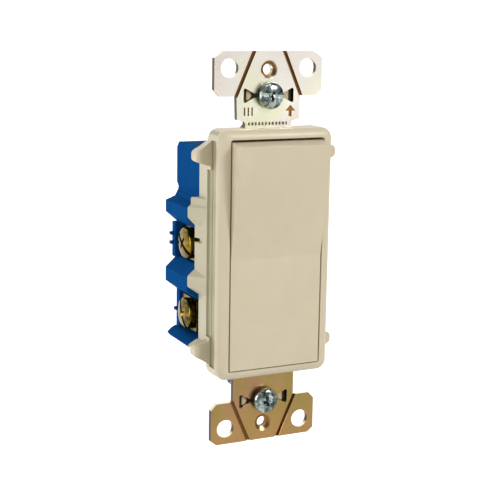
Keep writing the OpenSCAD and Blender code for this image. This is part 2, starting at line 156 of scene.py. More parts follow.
def rounded_rect(hw, hh, r, steps=8):
    corners = ((hw, hh, 0), (-hw, hh, 90), (-hw, -hh, 180), (hw, -hh, 270))
    points = []
    for x, y, start in corners:
        cx = x - math.copysign(r, x)
        cy = y - math.copysign(r, y)
        points += arc(cx, cy, r, start, start + 90, steps)
    return points


def smooth_line(outline, r, steps=4):
    """Rounds every corner of a closed outline by cutting r off each side and joining with a curve."""
    points = []
    count = len(outline)
    for i in range(count):
        here = Vector(outline[i])
        before = Vector(outline[i - 1]) - here
        after = Vector(outline[(i + 1) % count]) - here
        a = here + before.normalized() * min(r, before.length * 0.45)
        b = here + after.normalized() * min(r, after.length * 0.45)
        for k in range(steps + 1):
            t = k / steps
            points.append(tuple(a * (1 - t) ** 2 + here * 2 * t * (1 - t) + b * t * t))
    return points


def apply_modifiers(obj):
    graph = bpy.context.evaluated_depsgraph_get()
    mesh = bpy.data.meshes.new_from_object(obj.evaluated_get(graph))
    obj.modifiers.clear()
    obj.data = mesh
    return obj


def combine(obj, tools, operation):
    """Adds tools to obj, or cuts them from it, and deletes them."""
    for tool in tools:
        step = obj.modifiers.new("boolean", "BOOLEAN")
        step.operation = operation
        step.solver = "EXACT"
        step.object = tool
    apply_modifiers(obj)
    for tool in tools:
        bpy.data.objects.remove(tool)
    return obj


def cut(obj, *tools):
    return combine(obj, tools, "DIFFERENCE")


def fuse(obj, *tools):
    return combine(obj, tools, "UNION")


def mirrored(obj, axis):
    """Turns obj into its mirror image across the plane through the origin."""
    factor = [1, 1, 1]
    factor[axis] = -1
    obj.data.transform(Matrix.Diagonal((*factor, 1)))
    obj.data.flip_normals()
    return obj


def joined(obj, *others):
    """Moves the others' faces into obj, as separate shells of one piece."""
    bm = bmesh.new()
    bm.from_mesh(obj.data)
    for other in others:
        bm.from_mesh(other.data)
        bpy.data.objects.remove(other)
    bm.to_mesh(obj.data)
    bm.free()
    return obj


def cleaned(obj):
    """Merges flat neighbours, so that only real edges are left to round."""
    bm = bmesh.new()
    bm.from_mesh(obj.data)
    bmesh.ops.remove_doubles(bm, verts=bm.verts, dist=1e-6)
    bmesh.ops.dissolve_limit(bm, angle_limit=math.radians(0.6), verts=bm.verts, edges=bm.edges)
    bm.to_mesh(obj.data)
    bm.free()
    return obj


def rounded_edges(obj, width, segments=3, limit=28):
    """Rounds the sharp edges by width millimetres and keeps flat faces looking flat."""
    edge = obj.modifiers.new("edges", "BEVEL")
    edge.width = width * MM
    edge.segments = segments
    edge.limit_method = "ANGLE"
    edge.angle_limit = math.radians(limit)
    edge.miter_outer = "MITER_ARC"
    edge.harden_normals = False
    for poly in obj.data.polygons:
        poly.use_smooth = True
    weight = obj.modifiers.new("normals", "WEIGHTED_NORMAL")
    weight.weight = 80
    weight.keep_sharp = True
    return obj


def cad_copy(node, name):
    """A new piece with the shape of a CAD node, ready for finer work."""
    piece = bpy.data.objects.new(name, frame["nodes"][node].data.copy())
    bpy.context.scene.collection.objects.link(piece)
    return cleaned(piece)


def finished(piece, body, slot, material, *nodes):
    """Gives a piece its material, its body and the nodes that it stands for."""
    piece.data.materials.clear()
    piece.data.materials.append(material)
    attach(piece, body)
    if nodes:
        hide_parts(*nodes)
    return piece


# ---- materials --------------------------------------------------------------------------


class Finish:
    """A material with one Principled shader, and short calls for the nodes that feed it."""

    def __init__(self, name, metallic=0.0, roughness=0.4, ior=1.5):
        self.material = bpy.data.materials.new(name)
        self.material.use_nodes = True
        self.tree = self.material.node_tree
        self.shader = self.tree.nodes["Principled BSDF"]
        self.shader.inputs["Metallic"].default_value = metallic
        self.shader.inputs["Roughness"].default_value = roughness
        self.shader.inputs["IOR"].default_value = ior
        coords = self.tree.nodes.new("ShaderNodeTexCoord")
        self.place = coords.outputs["Object"]
        self.facing = coords.outputs["Normal"]

    def link(self, source, target):
        self.tree.links.new(source, target)

    def stretched(self, x, y, z):
        step = self.tree.nodes.new("ShaderNodeMapping")
        step.inputs["Scale"].default_value = (x, y, z)
        self.link(self.place, step.inputs["Vector"])
        return step.outputs["Vector"]

    def along(self, vector, axis):
        """One component, X, Y or Z, of a vector."""
        step = self.tree.nodes.new("ShaderNodeSeparateXYZ")
        self.link(vector, step.inputs[0])
        return step.outputs[axis]

    def times(self, a, b):
        step = self.tree.nodes.new("ShaderNodeMath")
        step.operation = "MULTIPLY"
        self.link(a, step.inputs[0])
        self.link(b, step.inputs[1])
        return step.outputs[0]

    def noise(self, size, detail=3.0, rough=0.5, warp=0.0, place=None):
        """Noise whose features are about size millimetres across."""
        step = self.tree.nodes.new("ShaderNodeTexNoise")
        step.inputs["Scale"].default_value = 1 / (size * MM)
        step.inputs["Detail"].default_value = detail
        step.inputs["Roughness"].default_value = rough
        step.inputs["Distortion"].default_value = warp
        self.link(place or self.place, step.inputs["Vector"])
        return step.outputs["Fac"]

    def ramp(self, source, *stops):
        step = self.tree.nodes.new("ShaderNodeValToRGB")
        points = step.color_ramp.elements
        while len(points) < len(stops):
            points.new(0.5)
        for point, (position, colour) in zip(points, stops):
            point.position = position
            point.color = (*colour, 1)
        self.link(source, step.inputs["Fac"])
        return step.outputs["Color"]

    def ranged(self, source, low, high, start=0.3, end=0.7):
        step = self.tree.nodes.new("ShaderNodeMapRange")
        step.inputs["From Min"].default_value = start
        step.inputs["From Max"].default_value = end
        step.inputs["To Min"].default_value = low
        step.inputs["To Max"].default_value = high
        self.link(source, step.inputs["Value"])
        return step.outputs["Result"]

    def mixed(self, factor, a, b):
        step = self.tree.nodes.new("ShaderNodeMix")
        step.data_type = "RGBA"
        for socket, value in ((step.inputs[0], factor), (step.inputs[6], a), (step.inputs[7], b)):
            if isinstance(value, (int, float)):
                socket.default_value = value
            elif isinstance(value, tuple):
                socket.default_value = (*value, 1)
            else:
                self.link(value, socket)
        return step.outputs[2]

    def colour(self, source):
        self.link(source, self.shader.inputs["Base Color"])

    def roughness(self, source):
        self.link(source, self.shader.inputs["Roughness"])

    def bump(self, *layers):
        """Layers of (height source, depth in millimetres, strength), one on top of the other."""
        below = None
        for source, depth, strength in layers:
            step = self.tree.nodes.new("ShaderNodeBump")
            step.inputs["Distance"].default_value = depth * MM
            step.inputs["Strength"].default_value = strength
            self.link(source, step.inputs["Height"])
            if below:
                self.link(below, step.inputs["Normal"])
            below = step.outputs["Normal"]
        self.link(below, self.shader.inputs["Normal"])


def plastic(name, light, dark, grain=0.35, rough=(0.34, 0.46), ior=1.5, glow=0.0):
    """Moulded plastic: a fine spark-eroded grain, faint flow marks and dust."""
    f = Finish(name, roughness=rough[0], ior=ior)
    cloud = f.noise(14, detail=4, warp=0.6)
    tint = f.ramp(cloud, (0.3, dark), (0.7, light))
    f.colour(tint)
    f.roughness(f.ranged(f.noise(3.5, detail=5), *rough))
    f.bump((f.noise(6, detail=2), 0.03, 0.25), (f.noise(grain, detail=2), 0.012, 0.35))
    if glow:
        f.shader.inputs["Subsurface Weight"].default_value = glow
        f.shader.inputs["Subsurface Radius"].default_value = (0.9, 0.7, 0.45)
        f.shader.inputs["Subsurface Scale"].default_value = 1.2 * MM
    return f, tint


def ivory(name, light, dark):
    """Ivory plastic with painted shade: the sunken side panels and the sides behind them are coloured darker
    than the rest.
    """
    f, tint = plastic(name, light, dark, glow=0.12)
    x = f.along(f.place, "X")
    y = f.along(f.place, "Y")
    side = f.tree.nodes.new("ShaderNodeMath")
    side.operation = "ABSOLUTE"
    f.link(x, side.inputs[0])
    outside = f.ranged(side.outputs[0], 0, 1, 15.3 * MM, 15.4 * MM)
    inside = f.ranged(side.outputs[0], 1, 0, 16.08 * MM, 16.12 * MM)
    soft = 0.02                     # half width of a change of colour
    front = f.ranged(y, 0, 1, (PANEL_Y[0] - soft) * MM, (PANEL_Y[0] + soft) * MM)
    not_past = f.ranged(y, 1, 0, (PANEL_Y[1] - soft) * MM, (PANEL_Y[1] + soft) * MM)
    # painted shade: the sunken side panels get a darker olive and the side walls behind them a darker ivory,
    # standing in for the shade these sides lie in
    panel = f.times(f.times(outside, inside), f.times(front, not_past))
    painted_back_shade = f.times(outside, f.ranged(y, 0, 1, (PANEL_Y[1] - soft) * MM, (PANEL_Y[1] + soft) * MM))
    f.colour(f.mixed(painted_back_shade, f.mixed(panel, tint, (0.41, 0.38, 0.24)), (0.59, 0.54, 0.385)))
    return f.material


def yellow_zinc():
    """Yellow passivated zinc with wide olive and pink zones and darker brown on the sheet's cut edges, plus
    painted light: pale towards the top and deep gold at the bottom as painted reflection, near black on
    edges that face left as painted shade, pale on edges that face up as painted highlight.
    """
    f = Finish("yellow_zinc", metallic=1.0)
    zones = f.noise(26, detail=1.0, rough=0.3, warp=0.9)
    gold = f.ramp(zones, (0.30, (0.36, 0.30, 0.085)), (0.43, (0.46, 0.34, 0.11)), (0.50, (0.52, 0.34, 0.14)),
                  (0.57, (0.54, 0.30, 0.17)), (0.68, (0.48, 0.32, 0.12)))
    # painted reflection: the sheet turns pale towards the top and deep gold at the bottom, standing in for
    # how the flat strap mirrors the lights at different heights
    painted_top_reflection = f.ramp(zones, (0.35, (0.95, 0.93, 0.70)), (0.50, (0.96, 0.91, 0.83)), (0.62, (0.96, 0.86, 0.77)))
    low = f.ranged(f.along(f.place, "Z"), 0.65, 0, -50 * MM, -40 * MM)
    gold = f.mixed(low, gold, (0.66, 0.36, 0.15))
    height = f.ranged(f.along(f.place, "Z"), 0, 1, -30 * MM, 38 * MM)
    sheet = f.mixed(height, gold, painted_top_reflection)
    depth = f.along(f.place, "Y")
    below = f.times(f.ranged(depth, 0, 1, 0.04 * MM, 0.30 * MM), f.ranged(depth, 1, 0, 1.0 * MM, 1.2 * MM))
    edges = f.mixed(below, sheet, (0.34, 0.17, 0.06))
    # painted shade: faces that turn to the left are coloured near black
    left_facing_shade = f.ranged(f.along(f.facing, "X"), 0, 1, -0.80, -0.95)
    # painted highlight: faces that turn upwards are coloured pale
    upward_highlight = f.ranged(f.along(f.facing, "Z"), 0, 1, 0.45, 0.8)
    edges = f.mixed(left_facing_shade, edges, (0.07, 0.05, 0.03))
    f.colour(f.mixed(upward_highlight, edges, (0.95, 0.88, 0.70)))
    marks = f.noise(0.5, detail=3, place=f.stretched(1, 1, 0.08))
    f.roughness(f.ranged(f.noise(9, detail=3), 0.24, 0.36))
    f.bump((f.noise(9, detail=2), 0.04, 0.12), (marks, 0.006, 0.15))
    return f.material


def bright_zinc():
    """Clear zinc on a screw: bluish, cloudy and uneven, with dark patches placed by noise that are partly
    painted reflection.
    """
    f = Finish("bright_zinc", metallic=1.0)
    patch_noise = f.noise(2.2, detail=4, warp=1.4)
    # partly painted reflection: the near-black end of this ramp stands in for the dark surroundings the
    # heads mirror; the rest is the zinc's cloudy tone
    f.colour(f.ramp(patch_noise, (0.34, (0.07, 0.09, 0.09)), (0.50, (0.37, 0.45, 0.43)),
                    (0.66, (0.76, 0.84, 0.80))))
    f.roughness(f.ranged(f.noise(1.1, detail=4), 0.12, 0.28))
    f.bump((f.noise(1.4, detail=3), 0.06, 0.45), (f.noise(0.4, detail=3), 0.01, 0.3))
    return f.material


def brass(name, light, dark, rough=(0.14, 0.34), dents=0.02):
    f = Finish(name, metallic=1.0)
    patch_noise = f.noise(2.0, detail=4, warp=1.2)
    f.colour(f.ramp(patch_noise, (0.34, dark), (0.64, light)))
    f.roughness(f.ranged(f.noise(1.1, detail=5), *rough))
    marks = f.noise(0.35, detail=2, place=f.stretched(1, 0.15, 1))
    f.bump((marks, 0.01, 0.3), (f.noise(1.5, detail=2), dents, 0.3))
    return f.material


def fibre_material():
    """Retaining fibre washer of a mounting screw: tan on its raised bosses, with painted shade, nearly
    black, on the sunken face around them.
    """
    f = Finish("fibre", roughness=0.6)
    threads = f.noise(0.4, detail=5, place=f.stretched(1, 1, 0.3))
    tan = f.ramp(threads, (0.3, (0.46, 0.36, 0.20)), (0.7, (0.66, 0.55, 0.34)))
    depth = f.along(f.place, "Y")
    front = RETAINER_LO[1]
    # painted shade: the plate's front face around the raised bosses, seen through the strap's slot, is
    # coloured nearly black
    sunken = f.ranged(depth, 0, 1, (front - BOSS_RISE + 0.05) * MM, (front - BOSS_RISE + 0.25) * MM)
    outer = f.ranged(depth, 1, 0, (front + 0.05) * MM, (front + 0.15) * MM)
    f.colour(f.mixed(f.times(sunken, outer), tan, (0.10, 0.075, 0.04)))
    f.bump((threads, 0.04, 0.6))
    return f.material


def rubber_material():
    f = Finish("rubber", roughness=0.7)
    f.colour(f.ramp(f.noise(1.2, detail=4), (0.3, (0.012, 0.012, 0.013)), (0.7, (0.035, 0.034, 0.033))))
    f.bump((f.noise(0.3, detail=3), 0.02, 0.5))
    return f.material


IVORY = ivory("ivory_plastic", (0.68, 0.60, 0.43), (0.64, 0.56, 0.395))
BLUE = plastic("blue_plastic", (0.004, 0.078, 0.27), (0.003, 0.062, 0.22), grain=0.6, rough=(0.42, 0.56),
               ior=1.02)[0].material
ACETAL = plastic("white_acetal", (0.80, 0.80, 0.76), (0.74, 0.74, 0.70), glow=0.1)[0].material
YELLOW = yellow_zinc()
ZINC = bright_zinc()
SILVER = brass("silver_alloy", (0.80, 0.79, 0.76), (0.52, 0.50, 0.47))
BRASS = brass("bright_brass", (0.30, 0.20, 0.022), (0.045, 0.036, 0.006), rough=(0.12, 0.26), dents=0.06)
SPRING_BRASS = brass("spring_brass", (0.74, 0.48, 0.20), (0.50, 0.28, 0.09))
STEEL = brass("spring_steel", (0.58, 0.58, 0.58), (0.34, 0.33, 0.32))
GREEN = brass("green_zinc", (0.14, 0.42, 0.20), (0.05, 0.22, 0.10), rough=(0.2, 0.4))
FIBRE = fibre_material()
RUBBER = rubber_material()

# ---- front cover ------------------------------------------------------------------------


def face_shell():
    """The frame's block, with a round front edge that follows the corners."""
    front_r = 2.2
    corner_r = 2.8
    back = 2.4
    steps = 7
    rings = []
    for k in range(steps + 1):
        angle = math.radians(90 * k / steps)
        inset = front_r * (1 - math.sin(angle))
        y = FACE_Y + front_r * (1 - math.cos(angle))
        rings.append((inset, y))
    rings += [(0.0, back - 0.3), (0.09, back - 0.09), (0.3, back)]
    skin = []
    for inset, y in rings:
        outline = rounded_rect(FACE_HW - inset, FACE_HH - inset, max(corner_r - inset * 0.8, 1.0))
        skin.append([(x, y, z) for x, z in outline])
    return loft("front_cover_piece", skin)


LUG_Y = (0.2, 3.2)


def lug(side, up):
    """One of the four small ears on the sides of the cover."""
    outline = [(14.5, 23.5), (16.4, 23.5), (18.6, 24.2), (20.0, 24.7), (20.6, 25.3), (20.6, 27.2),
               (20.0, 27.8), (18.6, 28.5), (16.4, 30.0), (14.5, 30.0)]
    piece = prism("lug", "xz", smooth_line(outline, 0.4, 3), LUG_Y[0], LUG_Y[1])
    if side < 0:
        mirrored(piece, 0)
    if up < 0:
        mirrored(piece, 2)
    return piece


def barrier_front(outline):
    """The cover's half of a wire barrier; its front end slopes back towards the wall."""
    piece = prism("barrier", "xz", outline, 2.2, PART_Y)
    for vert in piece.data.vertices:
        if vert.co.y < 3 * MM:
            vert.co.x = max(vert.co.x, -16.0 * MM)
    return piece


BARRIERS = (
    [(-15.4, 14.6), (-18.9, 14.6), (-18.9, 12.5), (-19.8, 12.0), (-19.8, 9.1), (-17.6, 6.8), (-15.4, 6.8)],
    [(-15.4, -12.1), (-16.45, -12.1), (-19.8, -9.8), (-19.8, -6.9), (-16.45, -4.0), (-15.4, -4.0)],
    [(-15.4, -26.8), (-19.2, -26.8), (-19.6, -26.1), (-17.0, -24.6), (-15.4, -24.6)],
)
SKIRT_IN = 12.4


def skirt(side):
    """Side wall behind the frame; it flares out beside the upper terminal."""
    levels = [(BODY_LO[2], FACE_HW), (-9.02, FACE_HW), (-9.0, 17.7), (14.58, 17.7), (14.6, FACE_HW),
              (BODY_HI[2], FACE_HW)]
    rings = []
    for z, out in levels:
        section = [(SKIRT_IN, 1.5), (15.8, 1.5), (16.3, 2.6), (out, PART_Y), (SKIRT_IN, PART_Y)]
        rings.append([(x, y, z) for x, y in section])
    piece = loft("skirt", rings)
    return piece if side > 0 else mirrored(piece, 0)


def side_panel(side):
    """Cuts the sunken panel in one side of the cover; it is a little deeper towards the back."""
    clear = FACE_HW + 1.55
    tools = []
    for low, high, end in ((-30.4, 30.4, LUG_Y[0]), (-22.6, 22.6, PANEL_Y[1])):
        section = [(FACE_HW - PANEL_DEPTH, PANEL_Y[0]), (clear, PANEL_Y[0]), (clear, end),
                   (FACE_HW - PANEL_DEPTH - 0.3, end)]
        tool = prism("panel", "xy", section, low, high)
        tools.append(tool if side > 0 else mirrored(tool, 0))
    return tools


def make_cover():
    cover = face_shell()
    fuse(cover, skirt(-1), skirt(1))
    fuse(cover, *[lug(s, u) for s in (-1, 1) for u in (-1, 1)])
    fuse(cover, *[barrier_front(smooth_line(b, 0.4, 2)) for b in BARRIERS])
    # depth of the shelf that the strap lies on, and half widths of its slots at the top and the bottom
    shelf = 1.6
    neck = 7.05
    tongue = 9.45
    cut(cover,
        prism("hole", "xz", rounded_rect(OPENING_HW, OPENING_HH, 0.6, 4), FACE_Y - 1, shelf),
        box("channel", (-SKIRT_IN, SKIRT_IN), (shelf - 0.001, PART_Y + 1), (-40, 40)),
        box("slot", (-neck, neck), (-0.01, PART_Y), (30, 40)),
        box("slot", (-tongue, tongue), (-0.01, PART_Y), (-40, -30)),
        *side_panel(-1), *side_panel(1))
    # trunnion bores and the notch beside the upper terminal
    bore = lathe("bore", [(-15.2, 1.55), (15.2, 1.55)], 0, (0, -1, 0), 32)
    notch = box("notch", (-19, -16.2), (4.4, PART_Y + 1), (2.4, 3.6))
    cut(cover, bore, notch)
    ledges = [box("ledge", (x0, x1), (0.2, shelf), (z - 1.5, z + 1.5))
              for x0, x1 in ((-14.05, -10.6), (10.6, 14.05)) for z in (-25, 25)]
    fuse(cover, *ledges)
    low, high = span("assembly_screws")
    holes = [lathe("hole", [(low[1] - 0.3, 1.12), (PART_Y + 1, 1.12)], 1, (x, 0, z), 24)
             for x in (low[0] + SCREW_HEAD_R, high[0] - SCREW_HEAD_R)
             for z in (low[2] + SCREW_HEAD_R, high[2] - SCREW_HEAD_R)]
    cut(cover, *holes)
    rounded_edges(cleaned(cover), 0.28)
    return finished(cover, "housing", "ivory_plastic", IVORY, "front_cover")


# ---- rocker -----------------------------------------------------------------------------

ROCKER_TURN = math.radians(frame["record"]["behaviour"]["joints"][0]["range_deg"][1])
PIVOT_Y = frame["record"]["behaviour"]["joints"][0]["pos_m"][1] / MM


def swung(point):
    """A Y-Z point of the lower half, mirrored and swung out to its place on the upper half."""
    y = point[0] - PIVOT_Y
    z = -point[1]
    c, s = math.cos(ROCKER_TURN), math.sin(ROCKER_TURN)
    return (PIVOT_Y + y * c - z * s, y * s + z * c)


def rocker_profile(front, back, reach):
    """Outline of the rocker seen from the side; the two faces meet in a slightly eased crease."""
    crease = (FACE_Y - PIVOT_Y) * math.tan(ROCKER_TURN / 2)
    ease = 0.2
    face = [(front, -reach), (front, crease - ease)]
    valley = [(front - 0.012, crease)]
    far = [swung(p) for p in reversed(face)]
    inner = [(back, -reach), (back, 0.0)]
    return face + valley + far + [swung((back, -reach))] + [inner[1], inner[0]]


def make_rocker():
    wall = 1.5
    half_w = OPENING_HW - 0.42
    reach = OPENING_HH - 0.3
    skirt_back = -0.9
    rocker = prism("rocker_piece", "yz", rocker_profile(FACE_Y, skirt_back, reach), -half_w, half_w)
    hollow = prism("hollow", "yz", rocker_profile(FACE_Y + wall, skirt_back + 3, reach - wall),
                   -half_w + wall, half_w - wall)
    cut(rocker, hollow)
    lean = Matrix.Translation((0, PIVOT_Y * MM, 0)) @ Matrix.Rotation(ROCKER_TURN / 2, 4, "X")
    lean = lean @ Matrix.Translation((0, -PIVOT_Y * MM, 0))
    seat = 2.2
    hub = [
        lathe("pin", [(half_w - 1, 1.5), (14.7, 1.5), (14.9, 1.3)], 0, (0, PIVOT_Y, 0), 40),
        lathe("pin", [(-14.9, 1.3), (-14.7, 1.5), (-half_w + 1, 1.5)], 0, (0, PIVOT_Y, 0), 40),
        lathe("boss", [(half_w - wall - 0.4, 2.3), (half_w - 0.2, 2.3)], 0, (0, PIVOT_Y, 0), 40),
        lathe("boss", [(-half_w + 0.2, 2.3), (-half_w + wall + 0.4, 2.3)], 0, (0, PIVOT_Y, 0), 40),
        box("post", (-2.4, 2.4), (FACE_Y + 0.8, seat), (-2, 2)),
        box("rib", (-half_w + 0.7, half_w - 0.7), (FACE_Y + 1, -0.4), (-0.7, 0.7)),
        lathe("peg", [(seat - 0.5, 1.0), (seat + 0.8, 1.0), (seat + 1, 0.8)], 1, (0, 0, 0), 32),
    ]
    for part in hub:
        part.data.transform(lean)
    fuse(rocker, *hub)
    # stiffening ribs across each half
    for z in (-20.5, -11.5):
        rib = box("rib", (-half_w + 0.7, half_w - 0.7), (FACE_Y + 1, FACE_Y + 3.4), (z - 0.5, z + 0.5))
        other = box("rib", (-half_w + 0.7, half_w - 0.7), (FACE_Y + 1, FACE_Y + 3.4), (-z - 0.5, -z + 0.5))
        full = Matrix.Translation((0, PIVOT_Y * MM, 0)) @ Matrix.Rotation(ROCKER_TURN, 4, "X")
        other.data.transform(full @ Matrix.Translation((0, -PIVOT_Y * MM, 0)))
        fuse(rocker, rib, other)
    rounded_edges(cleaned(rocker), 0.38, segments=3)
    return finished(rocker, "rocker", "ivory_plastic", IVORY, "rocker")


# ---- strap ------------------------------------------------------------------------------


def score_cutter(side, up):
    """A V groove from the strap's end to the inner corner of an ear."""
    inner = 41.5                    # height where the ears meet the tongue
    a = Vector((4.3, STRAP_END + 0.3))
    b = Vector((9.6, inner - 0.3))
    across = Vector((b.y - a.y, a.x - b.x)).normalized()
    rings = []
    for p in (a, b):
        rings.append([(p.x + across.x * k, y, p.y + across.y * k)
                      for k, y in ((-0.55, -0.05), (0.55, -0.05), (0.05, 0.7), (-0.05, 0.7))])
    piece = loft("score", rings)
    if side < 0:
        mirrored(piece, 0)
    if up < 0:
        mirrored(piece, 2)
    return piece


def stamped_marks():
    """Plain stamped marks beside the upper screw: an arrow that points up, and rows of short lines."""
    x, z = 6.4, 37.4
    outline = [(x, z + 1.7), (x + 1.5, z + 0.1), (x + 0.45, z + 0.1), (x + 0.45, z - 1.4),
               (x - 0.45, z - 1.4), (x - 0.45, z + 0.1), (x - 1.5, z + 0.1)]
    marks = [prism("arrow", "xz", outline, -0.1, 0.3)]
    for k in range(3):
        left = -7.2 + 1.1 * k
        marks.append(box("mark", (left, left + 0.4), (-0.1, 0.35), (36.4, 38.6)))
    for k in range(12):
        left = -5.9 + 1.0 * k
        marks.append(box("mark", (left, left + 0.4), (-0.1, 0.35), (33.9, 34.7)))
    return marks


def screw_seat(up):
    """Countersunk and threaded plate-screw hole, as a cutter."""
    funnel = [(-0.1, 2.5), (0.0, 2.45), (0.75, 1.6), (0.8, 1.45)]
    z = up * PLATE_SCREW_Z
    bore = lathe("seat", funnel + [(1.0, 1.45), (1.2, 1.62), (1.4, 1.45), (1.6, 1.62), (1.8, 1.45),
                                   (2.0, 1.62), (2.2, 1.45), (3.0, 1.45)], 1, (0, 0, z), 48)
    return bore


def make_strap():
    strap = cad_copy("mounting_strap", "mounting_strap_piece")
    cut(strap, *[score_cutter(s, u) for s in (-1, 1) for u in (-1, 1)], *stamped_marks(),
        screw_seat(1), screw_seat(-1))
    rounded_edges(cleaned(strap), 0.14, segments=2, limit=35)
    return finished(strap, "housing", "yellow_zinc", YELLOW, "mounting_strap")


def make_retainer(which):
    """Fibre retainer of a mounting screw, with a raised half-moon in each wing of the strap's slot."""
    node = which + "_screw_retainer"
    low, high = span(node)
    z = (low[2] + high[2]) / 2
    hh = (high[2] - low[2]) / 2
    outline = [(x, z + dz) for x, dz in rounded_rect(high[0], hh, 1.0)]
    plate = prism(node + "_piece", "xz", outline, low[1], high[1])
    bosses = []
    for side in (-1, 1):
        moon = [(side * (6.2 - 1.5 * math.cos(math.radians(a))), z + 1.25 * math.sin(math.radians(a)))
                for a in range(-90, 91, 15)]
        bosses.append(prism("boss", "xz", moon, low[1] - BOSS_RISE, low[1] + 0.2))
    fuse(plate, *bosses)
    cut(plate, lathe("bore", [(low[1] - 1, 1.62), (high[1] + 1, 1.62)], 1, (0, 0, z), 40))
    rounded_edges(cleaned(plate), 0.12, segments=2)
    return finished(plate, which + "_retainer", "fibre", FIBRE, node)


# ---- back body --------------------------------------------------------------------------


def make_body():
    body = cad_copy("back_body", "back_body_piece")
    back = BODY_HI[1]
    # shallow panels and wire guides on the rear face
    panels = [
        box("panel", (-8.5, 12.0), (back - 0.4, back + 1), (12.5, 23.5)),
        box("panel", (-8.5, 12.0), (back - 0.4, back + 1), (-6.0, 9.5)),
        box("panel", (-8.5, 12.0), (back - 0.4, back + 1), (-23.0, -9.0)),
    ]
    # the rear edge at the top is rounded
    r = 1.3
    corner = [(back - r + y, BODY_HI[2] - r + z) for y, z in arc(0, 0, r, 0, 90, 6)]
    corner += [(back - r, BODY_HI[2] + 1), (back + 1, BODY_HI[2] + 1), (back + 1, BODY_HI[2] - r)]
    cut(body, prism("corner", "yz", corner, BODY_LO[0] - 1, BODY_HI[0] + 1), *panels)
    rounded_edges(cleaned(body), 0.3, segments=3, limit=30)
    return finished(body, "housing", "blue_plastic", BLUE, "back_body")


# ---- screws -----------------------------------------------------------------------------


def threaded_rod(name, axis, centre, start, end):
    """A right-handed V thread between start and end along an axis, with faded ends."""
    depth = 0.42
    turn_steps = 28
    rows_per_turn = 8
    a, b = [i for i in range(3) if i != axis]
    hand = 1 if axis != 1 else -1
    rows = int((end - start) / PITCH * rows_per_turn)
    rings = []
    for i in range(rows + 1):
        along = start + (end - start) * i / rows
        fade = min(1.0, (along - start) / PITCH + 0.1, (end - along) / PITCH + 0.1)
        taper = max(0.0, 1 - (end - along) / 0.9) * 0.5
        ring = []
        for k in range(turn_steps):
            angle = 2 * math.pi * k / turn_steps
            phase = (along / PITCH - hand * k / turn_steps) % 1.0
            groove = abs(2 * phase - 1)
            radius = THREAD_R - depth * max(0.0, groove * 1.15 - 0.15) * fade - taper * 0.6
            point = list(centre)
            point[axis] = along
            point[a] += radius * math.cos(angle)
            point[b] += radius * math.sin(angle)
            ring.append(point)
        rings.append(ring)
    return loft(name, rings)


def cross_cutters(reach, slot_w, wing_w, slot_depth, top):
    """Slot and tapered cross of a combination recess, cut along +Y from a head's top at y = top."""
    slot_box = box("slot", (-6, 6), (top - 1, top + slot_depth), (-slot_w / 2, slot_w / 2))
    wings = []
    for turn in (0, 90):
        outline = [(top - 0.5, -reach), (top - 0.5, reach), (top + 1.7, 0.35), (top + 1.7, -0.35)]
        wing = prism("wing", "yz", outline, -wing_w / 2, wing_w / 2)
        wing.data.transform(Matrix.Rotation(math.radians(turn), 4, "Y"))
        wings.append(wing)
    return [slot_box] + wings


def head(name, profile, recess_turn, reach=1.9, slot_w=0.95, slot_depth=0.95):
    """A screw head that faces -Y, made at the origin: profile is (y, radius) from the top down."""
    piece = lathe(name, profile, 1, (0, 0, 0), 72)
    tools = cross_cutters(reach, slot_w, 0.85, slot_depth, profile[0][0])
    for tool in tools:
        tool.data.transform(Matrix.Rotation(math.radians(recess_turn), 4, "Y"))
    cut(piece, *tools)
    return cleaned(piece)


def dome(radius, rim, rise):
    """Profile of an oval head from its middle out: (y, r) pairs, with the underside at y = 0."""
    steps = 7
    points = []
    for k in range(steps + 1):
        t = math.radians(8 + 82 * k / steps)
        points.append((-rim - rise * math.cos(t), radius * math.sin(t)))
    points.append((-rim * 0.35, radius))
    points.append((0.0, radius - 0.35))
    return points


def make_mounting_screw(which, turn):
    node = which + "_mounting_screw"
    low, high = span(node)
    z = (low[2] + high[2]) / 2
    under = -0.9
    rim = 0.75
    radius = (high[2] - low[2]) / 2
    screw = head(node + "_piece", dome(radius, rim, under - rim - low[1]), turn)
    screw.data.transform(Matrix.Translation((0, under * MM, z * MM)))
    rounded_edges(screw, 0.09, segments=2, limit=40)
    apply_modifiers(screw)
    neck = lathe("neck", [(under - 0.2, 1.58), (2.6, 1.58)], 1, (0, 0, z), 40)
    rod = threaded_rod("rod", 1, (0, 0, z), 2.45, high[1])
    joined(screw, neck, rod)
    for poly in screw.data.polygons:
        poly.use_smooth = True
    screw.data.set_sharp_from_angle(angle=math.radians(38))
    return finished(screw, which + "_mounting_screw", "zinc", ZINC, node)


def make_terminal_screw(which, turn):
    node = which + "_terminal_screw"
    low, high = span(node)
    y = (low[1] + high[1]) / 2
    z = (low[2] + high[2]) / 2
    radius = (high[2] - low[2]) / 2
    rim = 1.5
    rise = 0.98
    under = low[0] + 2.5
    screw = head(node + "_piece", dome(radius, rim, rise), turn, reach=2.4, slot_w=1.1, slot_depth=1.1)
    quarter = Matrix.Rotation(math.radians(-90), 4, "Z")
    screw.data.transform(Matrix.Translation((under * MM, y * MM, z * MM)) @ quarter)
    rounded_edges(screw, 0.1, segments=2, limit=40)
    apply_modifiers(screw)
    rod = threaded_rod("rod", 0, (0, y, z), under - 0.1, high[0])
    joined(screw, rod)
    for poly in screw.data.polygons:
        poly.use_smooth = True
    screw.data.set_sharp_from_angle(angle=math.radians(38))
    return finished(screw, which + "_terminal_screw", "brass", BRASS, node)


# ---- clamp plates -----------------------------------------------------------------------


